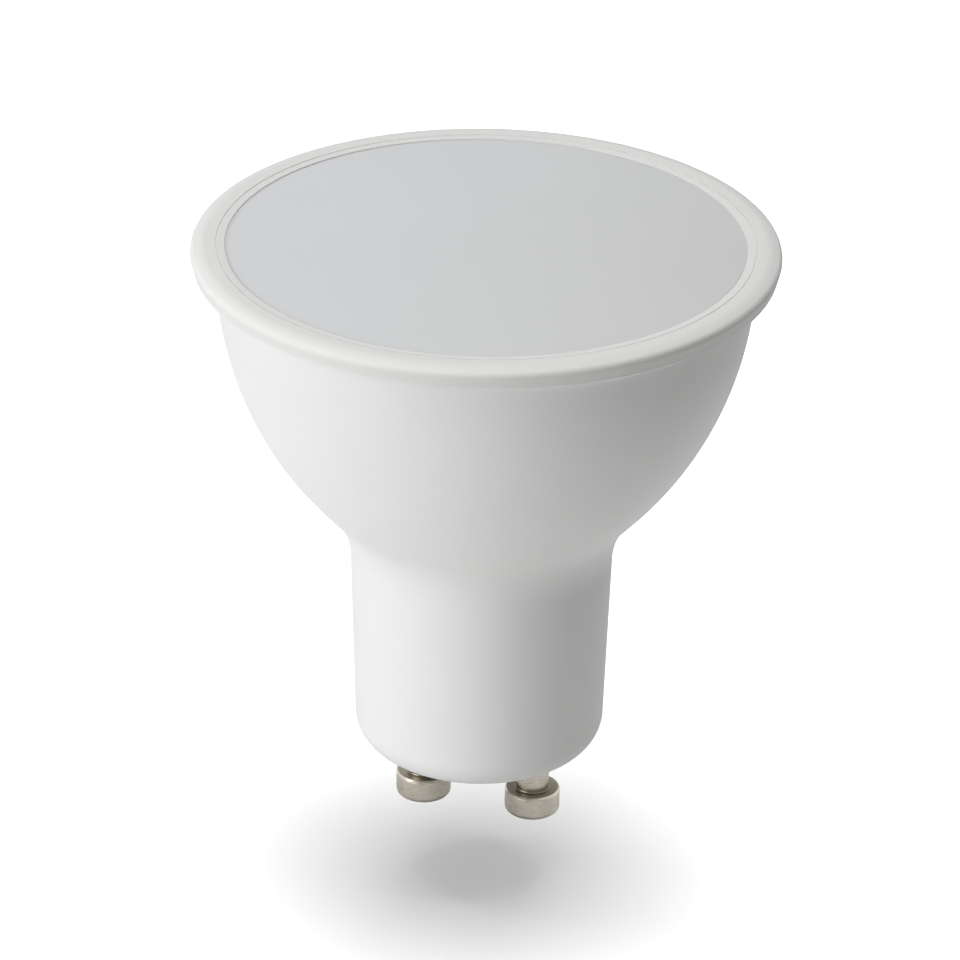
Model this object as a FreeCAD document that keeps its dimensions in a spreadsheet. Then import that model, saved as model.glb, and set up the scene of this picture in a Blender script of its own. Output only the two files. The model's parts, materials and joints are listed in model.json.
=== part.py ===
import FreeCAD, Part
import math
import os
from types import SimpleNamespace

import Sketcher

# Spotlight bulb with a twist-lock two-pin cap, in millimetres.
# The axis is +Z, the origin lies midway between the ends of the two pins, and the pins lie along X.

os.makedirs("parts", exist_ok=True)
doc = FreeCAD.newDocument("SpotlightBulb")
Vector = FreeCAD.Vector

# Driving sizes. Lengths are in millimetres, angles in degrees, heights are measured from the pin ends.
DRIVING_SIZES = {
    # outside of the housing
    "total_height": 54.2,
    "base_height": 6.6,
    "neck_base_radius": 10.78,
    "neck_top_radius": 11.43,
    "bowl_radius": 31.15,
    "bowl_angle": 39.55,
    "neck_round": 1.5,
    "base_round": 2.9,
    "housing_wall": 1.2,
    "rim_lip_thickness": 0.35,
    "rim_lip_setback": 0.45,
    # front cover
    "rim_radius": 25.0,
    "flange_overhang": 2.05,
    "flange_thickness": 1.6,
    "flange_taper": 0.42,
    "rim_round": 0.5,
    "ring_width": 2.05,
    "band_width": 0.75,
    "face_drop": 0.13,
    "cover_thickness": 1.5,
    "skirt_length": 3.4,
    "skirt_thickness": 1.0,
    "skirt_fillet": 0.5,
    "snap_height": 0.45,
    "snap_width": 0.9,
    "snap_rise": 0.6,
    # contact pins
    "pin_pitch": 10.0,
    "pin_head_radius": 2.42,
    "pin_head_height": 2.3,
    "pin_head_round": 0.5,
    "pin_head_chamfer": 0.25,
    "pin_shank_radius": 1.45,
    "pin_barrel_radius": 1.2,
    "pin_bore_radius": 0.6,
    "pin_bore_depth": 3.0,
    "pin_rivet_radius": 1.9,
    "pin_rivet_thickness": 0.5,
    "pin_recess_radius": 1.95,
    "pin_recess_depth": 0.4,
    "pin_boss_radius": 2.6,
    "pin_boss_height": 3.6,
    # fits
    "seat_gap": 0.05,
    "slide_gap": 0.1,
    # aluminium liner, pad and LED board
    "liner_depth": 12.7,
    "liner_floor_thickness": 1.0,
    "liner_wall": 0.8,
    "liner_bend": 1.4,
    "pad_margin": 0.6,
    "pad_thickness": 0.3,
    "led_board_margin": 1.69,
    "led_board_thickness": 1.0,
    "wire_hole_margin": 0.55,
    "led_count": 8,
    "led_circle_share": 0.69,
    "led_length": 3.5,
    "led_width": 2.8,
    "led_height": 0.7,
    "led_window_radius": 1.1,
    "led_window_depth": 0.12,
    # screws that clamp the LED board and the liner to the housing
    "screw_margin": 3.2,
    "screw_head_radius": 2.2,
    "screw_head_height": 1.5,
    "screw_head_round": 0.6,
    "screw_shank_radius": 1.1,
    "screw_length": 7.0,
    "screw_recess_width": 0.6,
    "screw_recess_length": 2.4,
    "screw_recess_depth": 0.9,
    "post_width": 5.0,
    "post_margin": 2.2,
    "pilot_depth": 6.4,
    # driver board and the rails that hold it
    "board_offset": 3.6,
    "board_thickness": 1.0,
    "board_bottom": 9.8,
    "board_top_gap": 2.9,
    "board_stem_width": 16.8,
    "board_head_height": 5.4,
    "board_head_gap": 1.45,
    "rail_depth": 0.9,
    "rail_thickness": 0.8,
    "rail_top_gap": 1.95,
    "lead_hole_radius": 0.55,
    # tall parts on the front of the driver board
    "electrolytic_radius": 4.0,
    "electrolytic_round": 0.5,
    "crimp_position": 1.2,
    "crimp_width": 0.7,
    "crimp_depth": 0.25,
    "input_capacitor_x": 1.6,
    "input_capacitor_share": 0.286,
    "input_capacitor_length_share": 0.563,
    "output_capacitor_share": 0.12,
    "output_capacitor_length_share": 0.768,
    "lead_radius": 0.3,
    "lead_spacing": 3.5,
    "lead_drop": 1.3,
    "lead_bend": 0.7,
    "lead_tail": 0.8,
    "choke_edge_gap": 1.8,
    "choke_factor": 1.245,
    "choke_length": 8.2,
    "choke_flange": 1.1,
    "choke_post_radius": 1.6,
    "choke_winding_depth": 0.5,
    # fuse resistor and its sleeve
    "fuse_bottom_share": 0.17,
    "fuse_length_share": 0.3,
    "fuse_radius": 1.15,
    "fuse_waist_radius": 0.95,
    "fuse_cap_length": 1.2,
    "sleeve_thickness": 0.3,
    "sleeve_overhang": 0.9,
    "fuse_lead_share": 0.587,
    # low parts on the back of the driver board
    "bridge_width": 4.7,
    "bridge_length": 3.6,
    "bridge_thickness": 2.4,
    "bridge_height": 11.85,
    "film_width": 7.2,
    "film_length_share": 0.3,
    "film_thickness": 3.0,
    "film_share": 0.408,
    "chip_width": 3.9,
    "chip_length": 4.9,
    "chip_thickness": 1.5,
    "chip_share": 0.775,
    "diode_width": 4.3,
    "diode_length": 2.6,
    "diode_thickness": 2.1,
    "diode_share": 0.656,
    "resistor_width_share": 0.128,
    "resistor_length": 3.2,
    "resistor_thickness": 0.55,
    "resistor_share": 0.768,
    "resistor_pitch_share": 0.216,
    "resistor_count": 3,
    "leg_width": 0.5,
    "leg_length": 0.9,
    "leg_thickness": 0.25,
    "moulding_draft": 0.25,
    # flexible leads
    "wire_radius": 0.45,
    "wire_bend": 1.2,
    "neutral_wire_drop": 2.0,
    "led_lead_rise": 1.2,
    "led_lead_reach": 5.6,
}

sheet = doc.addObject("Spreadsheet::Sheet", "Sizes")
for row, (alias, value) in enumerate(DRIVING_SIZES.items(), 1):
    sheet.set("A%d" % row, alias)
    sheet.set("B%d" % row, str(value))
    sheet.setAlias("B%d" % row, alias)
doc.recompute()


class Size:
    """A number together with the formula on the sheet that gives it."""

    def __init__(self, value, text):
        self.value = float(value)
        self.text = text

    def __add__(self, other):
        other = as_size(other)
        return Size(self.value + other.value, "(%s + %s)" % (self.text, other.text))

    def __sub__(self, other):
        other = as_size(other)
        return Size(self.value - other.value, "(%s - %s)" % (self.text, other.text))

    def __mul__(self, other):
        other = as_size(other)
        return Size(self.value * other.value, "(%s * %s)" % (self.text, other.text))

    def __truediv__(self, other):
        other = as_size(other)
        return Size(self.value / other.value, "(%s / %s)" % (self.text, other.text))

    def __neg__(self):
        return Size(-self.value, "(0 - %s)" % self.text)


def as_size(number):
    return number if isinstance(number, Size) else Size(number, repr(number))


def root(size):
    return Size(math.sqrt(size.value), "sqrt(%s)" % size.text)


def sine(angle):
    return Size(math.sin(math.radians(angle.value)), "sin(%s)" % angle.text)


def cosine(angle):
    return Size(math.cos(math.radians(angle.value)), "cos(%s)" % angle.text)


def tangent(angle):
    return Size(math.tan(math.radians(angle.value)), "tan(%s)" % angle.text)


# s.NAME is a driving size from the sheet
s = SimpleNamespace(**{alias: Size(value, "Sizes." + alias) for alias, value in DRIVING_SIZES.items()})
pieces = []


# Sketches and features

def new_body(label):
    body = doc.addObject("PartDesign::Body", label)
    body.Label = label
    pieces.append(body)
    return body


def place(body, x=None, y=None, z=None):
    """Moves a body to a point given by sizes."""
    for axis, size in (("x", x), ("y", y), ("z", z)):
        if size is not None:
            body.setExpression("Placement.Base." + axis, size.text)


def origin_feature(body, role):
    return [feature for feature in body.Origin.OriginFeatures if feature.Role == role][0]


def new_sketch(body, name, plane, offset=None):
    """A sketch on an origin plane of the body, moved along the plane's normal by offset."""
    sketch = body.newObject("Sketcher::SketchObject", name)
    sketch.AttachmentSupport = [(origin_feature(body, plane), "")]
    sketch.MapMode = "FlatFace"
    if offset is not None:
        offset = as_size(offset)
        sketch.AttachmentOffset = FreeCAD.Placement(Vector(0, 0, offset.value), FreeCAD.Rotation())
        sketch.setExpression("AttachmentOffset.Base.z", offset.text)
    return sketch


def constrain(sketch, kind, elements, size):
    """Adds a dimension to a sketch and binds it to the sheet."""
    number = sketch.addConstraint(Sketcher.Constraint(kind, *elements, size.value))
    sketch.setExpression("Constraints[%d]" % number, size.text)


def fix_point(sketch, geometry, end, x, y):
    """Dimensions one end of an edge, or a circle's centre, from the sketch's origin."""
    for kind, size, axis in (("DistanceX", x, -2), ("DistanceY", y, -1)):
        if size.text == "0":
            sketch.addConstraint(Sketcher.Constraint("PointOnObject", geometry, end, axis))
        else:
            constrain(sketch, kind, (-1, 1, geometry, end), size)


def arc_edge(start, end, radius, turn):
    """The arc under half a circle from start to end that bends to the left (1) or right (-1)."""
    chord = end - start
    height = math.sqrt(radius ** 2 - chord.Length ** 2 / 4)
    across = Vector(-chord.y, chord.x, 0).normalize()
    centre = (start + end) * 0.5 + across * height * turn
    circle = Part.Circle(centre, Vector(0, 0, 1), radius)
    angles = [math.atan2(point.y - centre.y, point.x - centre.x) for point in (start, end)]
    return Part.ArcOfCircle(circle, *(angles if turn > 0 else reversed(angles)))


def add_path(sketch, corners, arcs=None, closed=True):
    """Lines through the corners. arcs maps a stretch's number to its radius and turn."""
    arcs = arcs or {}
    corners = [(as_size(x), as_size(y)) for x, y in corners]
    points = [Vector(x.value, y.value, 0) for x, y in corners]
    first = len(sketch.Geometry)
    stretches = len(corners) if closed else len(corners) - 1
    ends = []
    for number in range(stretches):
        start = points[number]
        end = points[(number + 1) % len(points)]
        if number in arcs:
            radius, turn = arcs[number]
            sketch.addGeometry(arc_edge(start, end, radius.value, turn), False)
            constrain(sketch, "Radius", (first + number,), radius)
            ends.append((1, 2) if turn > 0 else (2, 1))
        else:
            sketch.addGeometry(Part.LineSegment(start, end), False)
            ends.append((1, 2))
    for number in range(stretches):
        fix_point(sketch, first + number, ends[number][0], *corners[number])
        following = (number + 1) % stretches
        if closed or following:
            joint = (first + number, ends[number][1], first + following, ends[following][0])
            sketch.addConstraint(Sketcher.Constraint("Coincident", *joint))
        else:
            fix_point(sketch, first + number, ends[number][1], *corners[number + 1])


def add_circle(sketch, x, y, radius):
    x, y = as_size(x), as_size(y)
    centre = Vector(x.value, y.value, 0)
    number = sketch.addGeometry(Part.Circle(centre, Vector(0, 0, 1), radius.value), False)
    constrain(sketch, "Radius", (number,), radius)
    fix_point(sketch, number, 3, x, y)


def add_rectangle(sketch, left, right, low, high):
    add_path(sketch, [(left, low), (right, low), (right, high), (left, high)])


def turn_profile(body, name, corners, arcs=None, cut=False, offset=None):
    """Turns a half section about the upright axis of its sketch."""
    sketch = new_sketch(body, name + "Section", "XZ_Plane", offset)
    add_path(sketch, corners, arcs)
    feature = body.newObject("PartDesign::Groove" if cut else "PartDesign::Revolution", name)
    feature.Profile = sketch
    feature.ReferenceAxis = (sketch, ["V_Axis"])
    feature.Angle = 360
    doc.recompute()
    return feature


def extrude(body, name, sketch, length, cut=False, backwards=False, both=False):
    """A pad or pocket along the sketch's normal, against it, or half each way."""
    feature = body.newObject("PartDesign::Pocket" if cut else "PartDesign::Pad", name)
    feature.Profile = sketch
    feature.setExpression("Length", length.text)
    feature.Reversed = backwards
    if both:
        feature.SideType = "Symmetric"
    doc.recompute()
    return feature


def ring_edges(feature, *spots):
    """Names of the full circular edges about the body's axis, each given by its radius and height."""
    names = []
    for number, edge in enumerate(feature.Shape.Edges, 1):
        curve = edge.Curve
        if not isinstance(curve, Part.Circle):
            continue
        for radius, height in spots:
            level = abs(curve.Center.z - height.value) < 1e-4
            if level and abs(curve.Radius - radius.value) < 1e-4:
                names.append("Edge%d" % number)
    return names


def dress(body, kind, name, base, edges, size):
    """A fillet or chamfer on the named edges."""
    feature = body.newObject("PartDesign::" + kind, name)
    feature.Base = (base, edges)
    feature.setExpression("Radius" if kind == "Fillet" else "Size", size.text)
    doc.recompute()
    return feature


def sweep_wire(body, name, plane, points, radius, bend, offset):
    """A round wire along an L: up or down from the first point, round a bend, then sideways."""
    (x, low), (_, corner), (far, _) = points
    upward = 1 if corner.value > low.value else -1
    sideways = 1 if far.value > x.value else -1
    spine = new_sketch(body, name + "Path", plane, offset)
    route = [(x, low), (x, corner - bend * upward), (x + bend * sideways, corner), (far, corner)]
    add_path(spine, route, {1: (bend, -upward * sideways)}, closed=False)
    profile = new_sketch(body, name + "Section", "XY_Plane", low)
    if plane == "YZ_Plane":
        add_circle(profile, offset, x, radius)
    else:
        add_circle(profile, x, -offset, radius)
    feature = body.newObject("PartDesign::AdditivePipe", name)
    feature.Profile = profile
    feature.Spine = (spine, ["Edge1", "Edge2", "Edge3"])
    doc.recompute()
    return feature


# Levels and radii that several pieces share

flange_bottom = s.total_height - s.flange_thickness
lip_radius = s.rim_radius - s.flange_overhang
band_radius = s.rim_radius - s.ring_width
bowl_centre_x = lip_radius - s.bowl_radius
tangent_x = bowl_centre_x + s.bowl_radius * cosine(s.bowl_angle)
tangent_z = flange_bottom - s.bowl_radius * sine(s.bowl_angle)
neck_top = tangent_z - (tangent_x - s.neck_top_radius) / tangent(s.bowl_angle)
floor_top = s.base_height + s.housing_wall
boss_top = floor_top + s.pin_boss_height
rivet_top = boss_top + s.pin_rivet_thickness
liner_floor = s.total_height - s.liner_depth
liner_floor_top = liner_floor + s.liner_floor_thickness
pad_top = liner_floor_top + s.pad_thickness
led_board_top = pad_top + s.led_board_thickness
skirt_bottom = flange_bottom - s.skirt_length
half_pitch = s.pin_pitch / 2


def bowl_x(height, inset):
    """Radius at a height of the bowl's outer arc moved inwards by inset."""
    drop = flange_bottom - height
    reach = s.bowl_radius - inset
    return bowl_centre_x + root(reach * reach - drop * drop)


# the cover's skirt clears the narrowest stretch of wall that it reaches
skirt_radius = bowl_x(skirt_bottom, s.housing_wall + s.slide_gap)

# the LED board fills the liner's floor and carries the screws and the LEDs
liner_outer_inset = s.housing_wall + s.seat_gap
liner_inner_inset = liner_outer_inset + s.liner_wall
led_board_radius = bowl_x(liner_floor_top, liner_inner_inset) - s.led_board_margin
led_circle_radius = led_board_radius * s.led_circle_share
half_screws = led_board_radius - s.screw_margin
post_inner_radius = half_screws - s.post_margin

# the driver board's head hangs under the liner, and its stem parts share the room above the pins
board_front = s.board_offset - s.board_thickness / 2
board_back = s.board_offset + s.board_thickness / 2
board_top = liner_floor - s.board_top_gap
board_shoulder = board_top - s.board_head_height
head_middle = board_shoulder + s.board_head_height / 2
shoulder_wall = bowl_x(board_shoulder, s.housing_wall) - s.board_head_gap
half_head = root(shoulder_wall * shoulder_wall - board_back * board_back)
stem_room = board_shoulder - rivet_top
fuse_lead_top = rivet_top + stem_room * s.fuse_lead_share
input_capacitor_bottom = rivet_top + stem_room * s.input_capacitor_share
neutral_wire_top = input_capacitor_bottom - s.neutral_wire_drop

# the LED leads rise behind the board, just beside the output capacitor's leads
output_lead_x = half_head * s.output_capacitor_share - s.lead_bend
led_lead_x = output_lead_x + s.lead_radius + s.wire_radius + s.seat_gap
wire_hole_radius = led_lead_x + s.wire_radius + s.wire_hole_margin
wire_hole_y = board_back + s.wire_radius + s.seat_gap


# Housing: one moulded shell with the cup, the neck and the base

def make_housing():
    body = new_body("housing")
    outside = [
        (0, s.base_height),
        (s.neck_base_radius, s.base_height),
        (s.neck_top_radius, neck_top),
        (tangent_x, tangent_z),
        (lip_radius, flange_bottom),
        (0, flange_bottom),
    ]
    solid = turn_profile(body, "Outside", outside, {3: (s.bowl_radius, 1)})
    neck_edge = ring_edges(solid, (s.neck_top_radius, neck_top))
    neck = dress(body, "Fillet", "NeckRound", solid, neck_edge, s.neck_round)
    base_edge = ring_edges(neck, (s.neck_base_radius, s.base_height))
    dress(body, "Fillet", "BaseRound", neck, base_edge, s.base_round)
    hollow_out(body)
    add_rim_lip(body)
    add_pin_bosses(body)
    add_screw_posts(body)
    add_board_rails(body)


def hollow_out(body):
    """The inside follows the outside at the distance of the wall, with rounds about the same centres."""
    wall = s.housing_wall
    reach = s.bowl_radius - wall
    taper = (s.neck_top_radius - s.neck_base_radius) / (neck_top - s.base_height)
    floor_radius = s.neck_base_radius - wall + taper * wall
    rise = (wall / cosine(s.bowl_angle) - wall) / (tangent(s.bowl_angle) - taper)
    corner_radius = s.neck_top_radius - wall + taper * rise
    inside = [
        (0, floor_top),
        (floor_radius, floor_top),
        (corner_radius, neck_top + rise),
        (bowl_centre_x + reach * cosine(s.bowl_angle), flange_bottom - reach * sine(s.bowl_angle)),
        (bowl_x(flange_bottom, wall), flange_bottom),
        (0, flange_bottom),
    ]
    hollow = turn_profile(body, "Inside", inside, {3: (reach, 1)}, cut=True)
    neck_edge = ring_edges(hollow, (corner_radius, neck_top + rise))
    neck = dress(body, "Fillet", "InnerNeckRound", hollow, neck_edge, s.neck_round + wall)
    floor_edge = ring_edges(neck, (floor_radius, floor_top))
    dress(body, "Fillet", "FloorRound", neck, floor_edge, s.base_round - wall)


def add_rim_lip(body):
    """Thin lip on which the cover's flange rests, and the groove for its snap bead."""
    lip_low = flange_bottom - s.rim_lip_thickness
    lip_edge = s.rim_radius - s.rim_lip_setback
    lip = [
        (lip_radius - s.housing_wall / 2, lip_low),
        (lip_edge, lip_low),
        (lip_edge, flange_bottom),
        (lip_radius - s.housing_wall / 2, flange_bottom),
    ]
    turn_profile(body, "RimLip", lip)
    groove = bead_outline(skirt_radius, s.snap_height + s.slide_gap, s.slide_gap)
    turn_profile(body, "SnapGroove", groove, cut=True)


def bead_outline(radius, height, margin):
    """Triangular bead or groove that stands out from radius near the foot of the cover's skirt."""
    middle = skirt_bottom + s.snap_rise + s.snap_width / 2
    half = s.snap_width / 2 + margin
    return [(radius, middle - half), (radius + height, middle), (radius, middle + half)]


def add_pin_bosses(body):
    """Round bosses that hold the two pins, with a shallow recess round each pin underneath."""
    bosses = new_sketch(body, "BossCircles", "XY_Plane", s.base_height + s.housing_wall / 2)
    recesses = new_sketch(body, "RecessCircles", "XY_Plane", s.base_height)
    holes = new_sketch(body, "PinHoleCircles", "XY_Plane", s.base_height)
    for x in (-half_pitch, half_pitch):
        add_circle(bosses, x, 0, s.pin_boss_radius)
        add_circle(recesses, x, 0, s.pin_recess_radius)
        add_circle(holes, x, 0, s.pin_barrel_radius + s.seat_gap)
    extrude(body, "PinBosses", bosses, s.pin_boss_height + s.housing_wall / 2)
    extrude(body, "PinRecesses", recesses, s.pin_recess_depth, cut=True, backwards=True)
    extrude(body, "PinHoles", holes, boss_top - s.base_height + s.slide_gap, cut=True, backwards=True)


def add_screw_posts(body):
    """Gussets up the bowl's wall that carry the liner's floor, with pilot holes for the screws."""
    middle = s.housing_wall / 2
    slant = middle / cosine(s.bowl_angle)
    cone_start_x = bowl_centre_x + (s.bowl_radius - middle) * cosine(s.bowl_angle)
    cone_start_z = flange_bottom - (s.bowl_radius - middle) * sine(s.bowl_angle)
    foot = neck_top + (post_inner_radius - s.neck_top_radius + slant) / tangent(s.bowl_angle)
    top = liner_floor - s.seat_gap
    pilots = new_sketch(body, "PilotCircles", "XY_Plane", top)
    for side, turn in ((1, 1), (-1, -1)):
        gusset = [
            (post_inner_radius * side, foot),
            (cone_start_x * side, cone_start_z),
            (bowl_x(top, middle) * side, top),
            (post_inner_radius * side, top),
        ]
        sketch = new_sketch(body, "PostSection", "YZ_Plane")
        add_path(sketch, gusset, {1: (s.bowl_radius - middle, turn)})
        extrude(body, "ScrewPost", sketch, s.post_width, both=True)
        add_circle(pilots, 0, half_screws * side, s.screw_shank_radius)
    extrude(body, "PilotHoles", pilots, s.pilot_depth, cut=True)


def add_board_rails(body):
    """Two pairs of upright ribs in the neck that hold the driver board by its edges."""
    start = s.base_height + s.base_round
    wall_middle = s.neck_base_radius - s.housing_wall / 2
    tip = s.board_stem_width / 2 - s.rail_depth
    front = board_front - s.slide_gap
    back = board_back + s.slide_gap
    for near, far in ((front - s.rail_thickness, front), (back, back + s.rail_thickness)):
        for side in (1, -1):
            sketch = new_sketch(body, "RailSection", "XY_Plane", start)
            rail = [
                (tip * side, near),
                (root(wall_middle * wall_middle - near * near) * side, near),
                (root(wall_middle * wall_middle - far * far) * side, far),
                (tip * side, far),
            ]
            add_path(sketch, rail)
            extrude(body, "Rail", sketch, neck_top - s.rail_top_gap - start)


# Cover: one milky moulding with the flange, the narrow sloped band, the face and the snap skirt

def make_diffuser_cover():
    body = new_body("diffuser_cover")
    face = s.total_height - s.face_drop
    underside = face - s.cover_thickness
    inner = skirt_radius - s.skirt_thickness
    bead = bead_outline(skirt_radius, s.snap_height, as_size(0))
    section = [
        (0, face),
        (0, underside),
        (inner, underside),
        (inner, skirt_bottom),
        (skirt_radius, skirt_bottom),
        *bead,
        (skirt_radius, flange_bottom),
        (s.rim_radius - s.flange_taper, flange_bottom),
        (s.rim_radius, s.total_height - s.rim_round),
        (s.rim_radius - s.rim_round, s.total_height),
        (band_radius, s.total_height),
        (band_radius - s.band_width, face),
    ]
    solid = turn_profile(body, "Cover", section, {10: (s.rim_round, 1)})
    corner = ring_edges(solid, (inner, underside))
    dress(body, "Fillet", "SkirtFillet", solid, corner, s.skirt_fillet)


# Heat path: pressed aluminium liner, silicone pad and LED board, all pierced for screws and leads

def pierce(body, top, depth):
    """The lead hole and the two screw clearance holes, cut down from a level."""
    sketch = new_sketch(body, "HoleCircles", "XY_Plane", top)
    add_circle(sketch, 0, wire_hole_y, wire_hole_radius)
    for side in (1, -1):
        add_circle(sketch, 0, half_screws * side, s.screw_shank_radius + s.slide_gap)
    extrude(body, "Holes", sketch, depth, cut=True)


def make_heat_sink_liner():
    body = new_body("heat_sink_liner")
    outer = liner_outer_inset
    inner = liner_inner_inset
    top = skirt_bottom - s.slide_gap * 2
    section = [
        (0, liner_floor),
        (bowl_x(liner_floor, outer), liner_floor),
        (bowl_x(top, outer), top),
        (bowl_x(top, inner), top),
        (bowl_x(liner_floor_top, inner), liner_floor_top),
        (0, liner_floor_top),
    ]
    arcs = {1: (s.bowl_radius - outer, 1), 3: (s.bowl_radius - inner, -1)}
    solid = turn_profile(body, "Liner", section, arcs)
    outside_edge = ring_edges(solid, (bowl_x(liner_floor, outer), liner_floor))
    bent = dress(body, "Fillet", "OuterBend", solid, outside_edge, s.liner_bend)
    inside_edge = ring_edges(bent, (bowl_x(liner_floor_top, inner), liner_floor_top))
    dress(body, "Fillet", "InnerBend", bent, inside_edge, s.liner_bend - s.liner_wall)
    pierce(body, liner_floor_top, s.liner_floor_thickness)


def make_disc(label, radius, bottom, thickness):
    body = new_body(label)
    sketch = new_sketch(body, "DiscOutline", "XY_Plane", bottom)
    add_circle(sketch, 0, 0, radius)
    extrude(body, "Disc", sketch, thickness)
    pierce(body, bottom + thickness, thickness)


def make_led_packages():
    """Light-emitting packages in a ring, each with a shallow round window in its top."""
    body = new_body("led_packages")
    body.AllowCompound = True
    base = new_sketch(body, "PackageOutline", "XY_Plane", led_board_top)
    near = led_circle_radius - s.led_length / 2
    add_rectangle(base, near, near + s.led_length, -s.led_width / 2, s.led_width / 2)
    package = extrude(body, "Package", base, s.led_height)
    window = new_sketch(body, "WindowCircle", "XY_Plane", led_board_top + s.led_height)
    add_circle(window, led_circle_radius, 0, s.led_window_radius)
    recess = extrude(body, "Window", window, s.led_window_depth, cut=True)
    repeat_round(body, [package, recess], s.led_count)
    half_step = as_size(180) / s.led_count
    body.Placement = FreeCAD.Placement(Vector(), FreeCAD.Rotation(Vector(0, 0, 1), half_step.value))
    body.setExpression("Placement.Rotation.Angle", half_step.text)


def repeat_round(body, features, count):
    pattern = body.newObject("PartDesign::PolarPattern", "Ring")
    pattern.Originals = features
    pattern.Axis = (origin_feature(body, "Z_Axis"), [""])
    pattern.Angle = 360
    pattern.setExpression("Occurrences", count.text)
    body.Tip = pattern
    doc.recompute()


def make_board_screws():
    """Two pan-head screws, one each side of the axis, with cross recesses."""
    body = new_body("board_screws")
    body.AllowCompound = True
    seat = led_board_top
    head_top = seat + s.screw_head_height
    section = [
        (0, seat - s.screw_length),
        (s.screw_shank_radius - s.slide_gap, seat - s.screw_length),
        (s.screw_shank_radius - s.slide_gap, seat),
        (s.screw_head_radius, seat),
        (s.screw_head_radius, head_top - s.screw_head_round),
        (s.screw_head_radius - s.screw_head_round, head_top),
        (0, head_top),
    ]
    arcs = {4: (s.screw_head_round, 1)}
    screw = turn_profile(body, "Screw", section, arcs, offset=-half_screws)
    features = [screw]
    wide = s.screw_recess_length / 2
    narrow = s.screw_recess_width / 2
    for half_x, half_y in ((wide, narrow), (narrow, wide)):
        sketch = new_sketch(body, "RecessOutline", "XY_Plane", head_top)
        add_rectangle(sketch, -half_x, half_x, half_screws - half_y, half_screws + half_y)
        features.append(extrude(body, "Recess", sketch, s.screw_recess_depth, cut=True))
    repeat_round(body, features, as_size(2))


# Pins: nickel-plated, turned, riveted over the bosses and bored for the lead at the inner end

def make_pin(label, x):
    body = new_body(label)
    seat = s.base_height + s.pin_recess_depth
    section = [
        (0, 0),
        (s.pin_head_radius, 0),
        (s.pin_head_radius, s.pin_head_height),
        (s.pin_shank_radius, s.pin_head_height),
        (s.pin_shank_radius, seat),
        (s.pin_barrel_radius, seat),
        (s.pin_barrel_radius, boss_top),
        (s.pin_rivet_radius, boss_top),
        (s.pin_rivet_radius, rivet_top),
        (s.pin_bore_radius, rivet_top),
        (s.pin_bore_radius, rivet_top - s.pin_bore_depth),
        (0, rivet_top - s.pin_bore_depth),
    ]
    solid = turn_profile(body, "Pin", section)
    lower = ring_edges(solid, (s.pin_head_radius, as_size(0)))
    rounded = dress(body, "Fillet", "HeadRound", solid, lower, s.pin_head_round)
    upper = ring_edges(rounded, (s.pin_head_radius, s.pin_head_height))
    dress(body, "Chamfer", "HeadChamfer", rounded, upper, s.pin_head_chamfer)
    place(body, x=x)


# Driver board: narrow stem in the neck's rails and a wide head in the bowl

def make_driver_board():
    body = new_body("driver_board")
    stem = s.board_stem_width / 2
    head = half_head
    sketch = new_sketch(body, "BoardOutline", "XZ_Plane", -s.board_offset)
    outline = [
        (-stem, s.board_bottom),
        (stem, s.board_bottom),
        (stem, board_shoulder),
        (head, board_shoulder),
        (head, board_top),
        (-head, board_top),
        (-head, board_shoulder),
        (-stem, board_shoulder),
    ]
    add_path(sketch, outline)
    extrude(body, "Board", sketch, s.board_thickness, both=True)
    holes = new_sketch(body, "LeadHoles", "XZ_Plane", -s.board_offset)
    add_circle(holes, -half_pitch, fuse_lead_top, s.lead_hole_radius)
    add_circle(holes, half_pitch, neutral_wire_top, s.lead_hole_radius)
    for half in (-s.lead_spacing / 2, s.lead_spacing / 2):
        below = input_capacitor_bottom - s.lead_drop
        add_circle(holes, s.input_capacitor_x + half, below, s.lead_hole_radius)
        add_circle(holes, output_lead_x, head_middle + half, s.lead_hole_radius)
    extrude(body, "LeadHoleCuts", holes, s.board_thickness, cut=True, both=True)


def can_section(length):
    """Half section of a capacitor can with its crimped groove, standing on z = 0."""
    radius = s.electrolytic_radius
    waist = radius - s.crimp_depth
    return [
        (0, 0),
        (radius, 0),
        (radius, s.crimp_position),
        (waist, s.crimp_position + s.crimp_width / 2),
        (radius, s.crimp_position + s.crimp_width),
        (radius, length),
        (0, length),
    ]


def make_can(body, length):
    can = turn_profile(body, "Can", can_section(length))
    rims = ring_edges(can, (s.electrolytic_radius, as_size(0)), (s.electrolytic_radius, length))
    dress(body, "Fillet", "CanRound", can, rims, s.electrolytic_round)


def make_input_capacitor():
    """Upright in the neck, with its two leads bent back into the board."""
    body = new_body("input_capacitor")
    make_can(body, stem_room * s.input_capacitor_length_share)
    reach = s.electrolytic_radius + s.slide_gap + s.board_thickness + s.lead_tail
    for x in (-s.lead_spacing / 2, s.lead_spacing / 2):
        route = [(as_size(0), s.electrolytic_round), (as_size(0), -s.lead_drop), (reach, -s.lead_drop)]
        sweep_wire(body, "Lead", "YZ_Plane", route, s.lead_radius, s.lead_bend, x)
    middle = board_front - s.slide_gap - s.electrolytic_radius
    place(body, x=s.input_capacitor_x, y=middle, z=input_capacitor_bottom)


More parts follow.
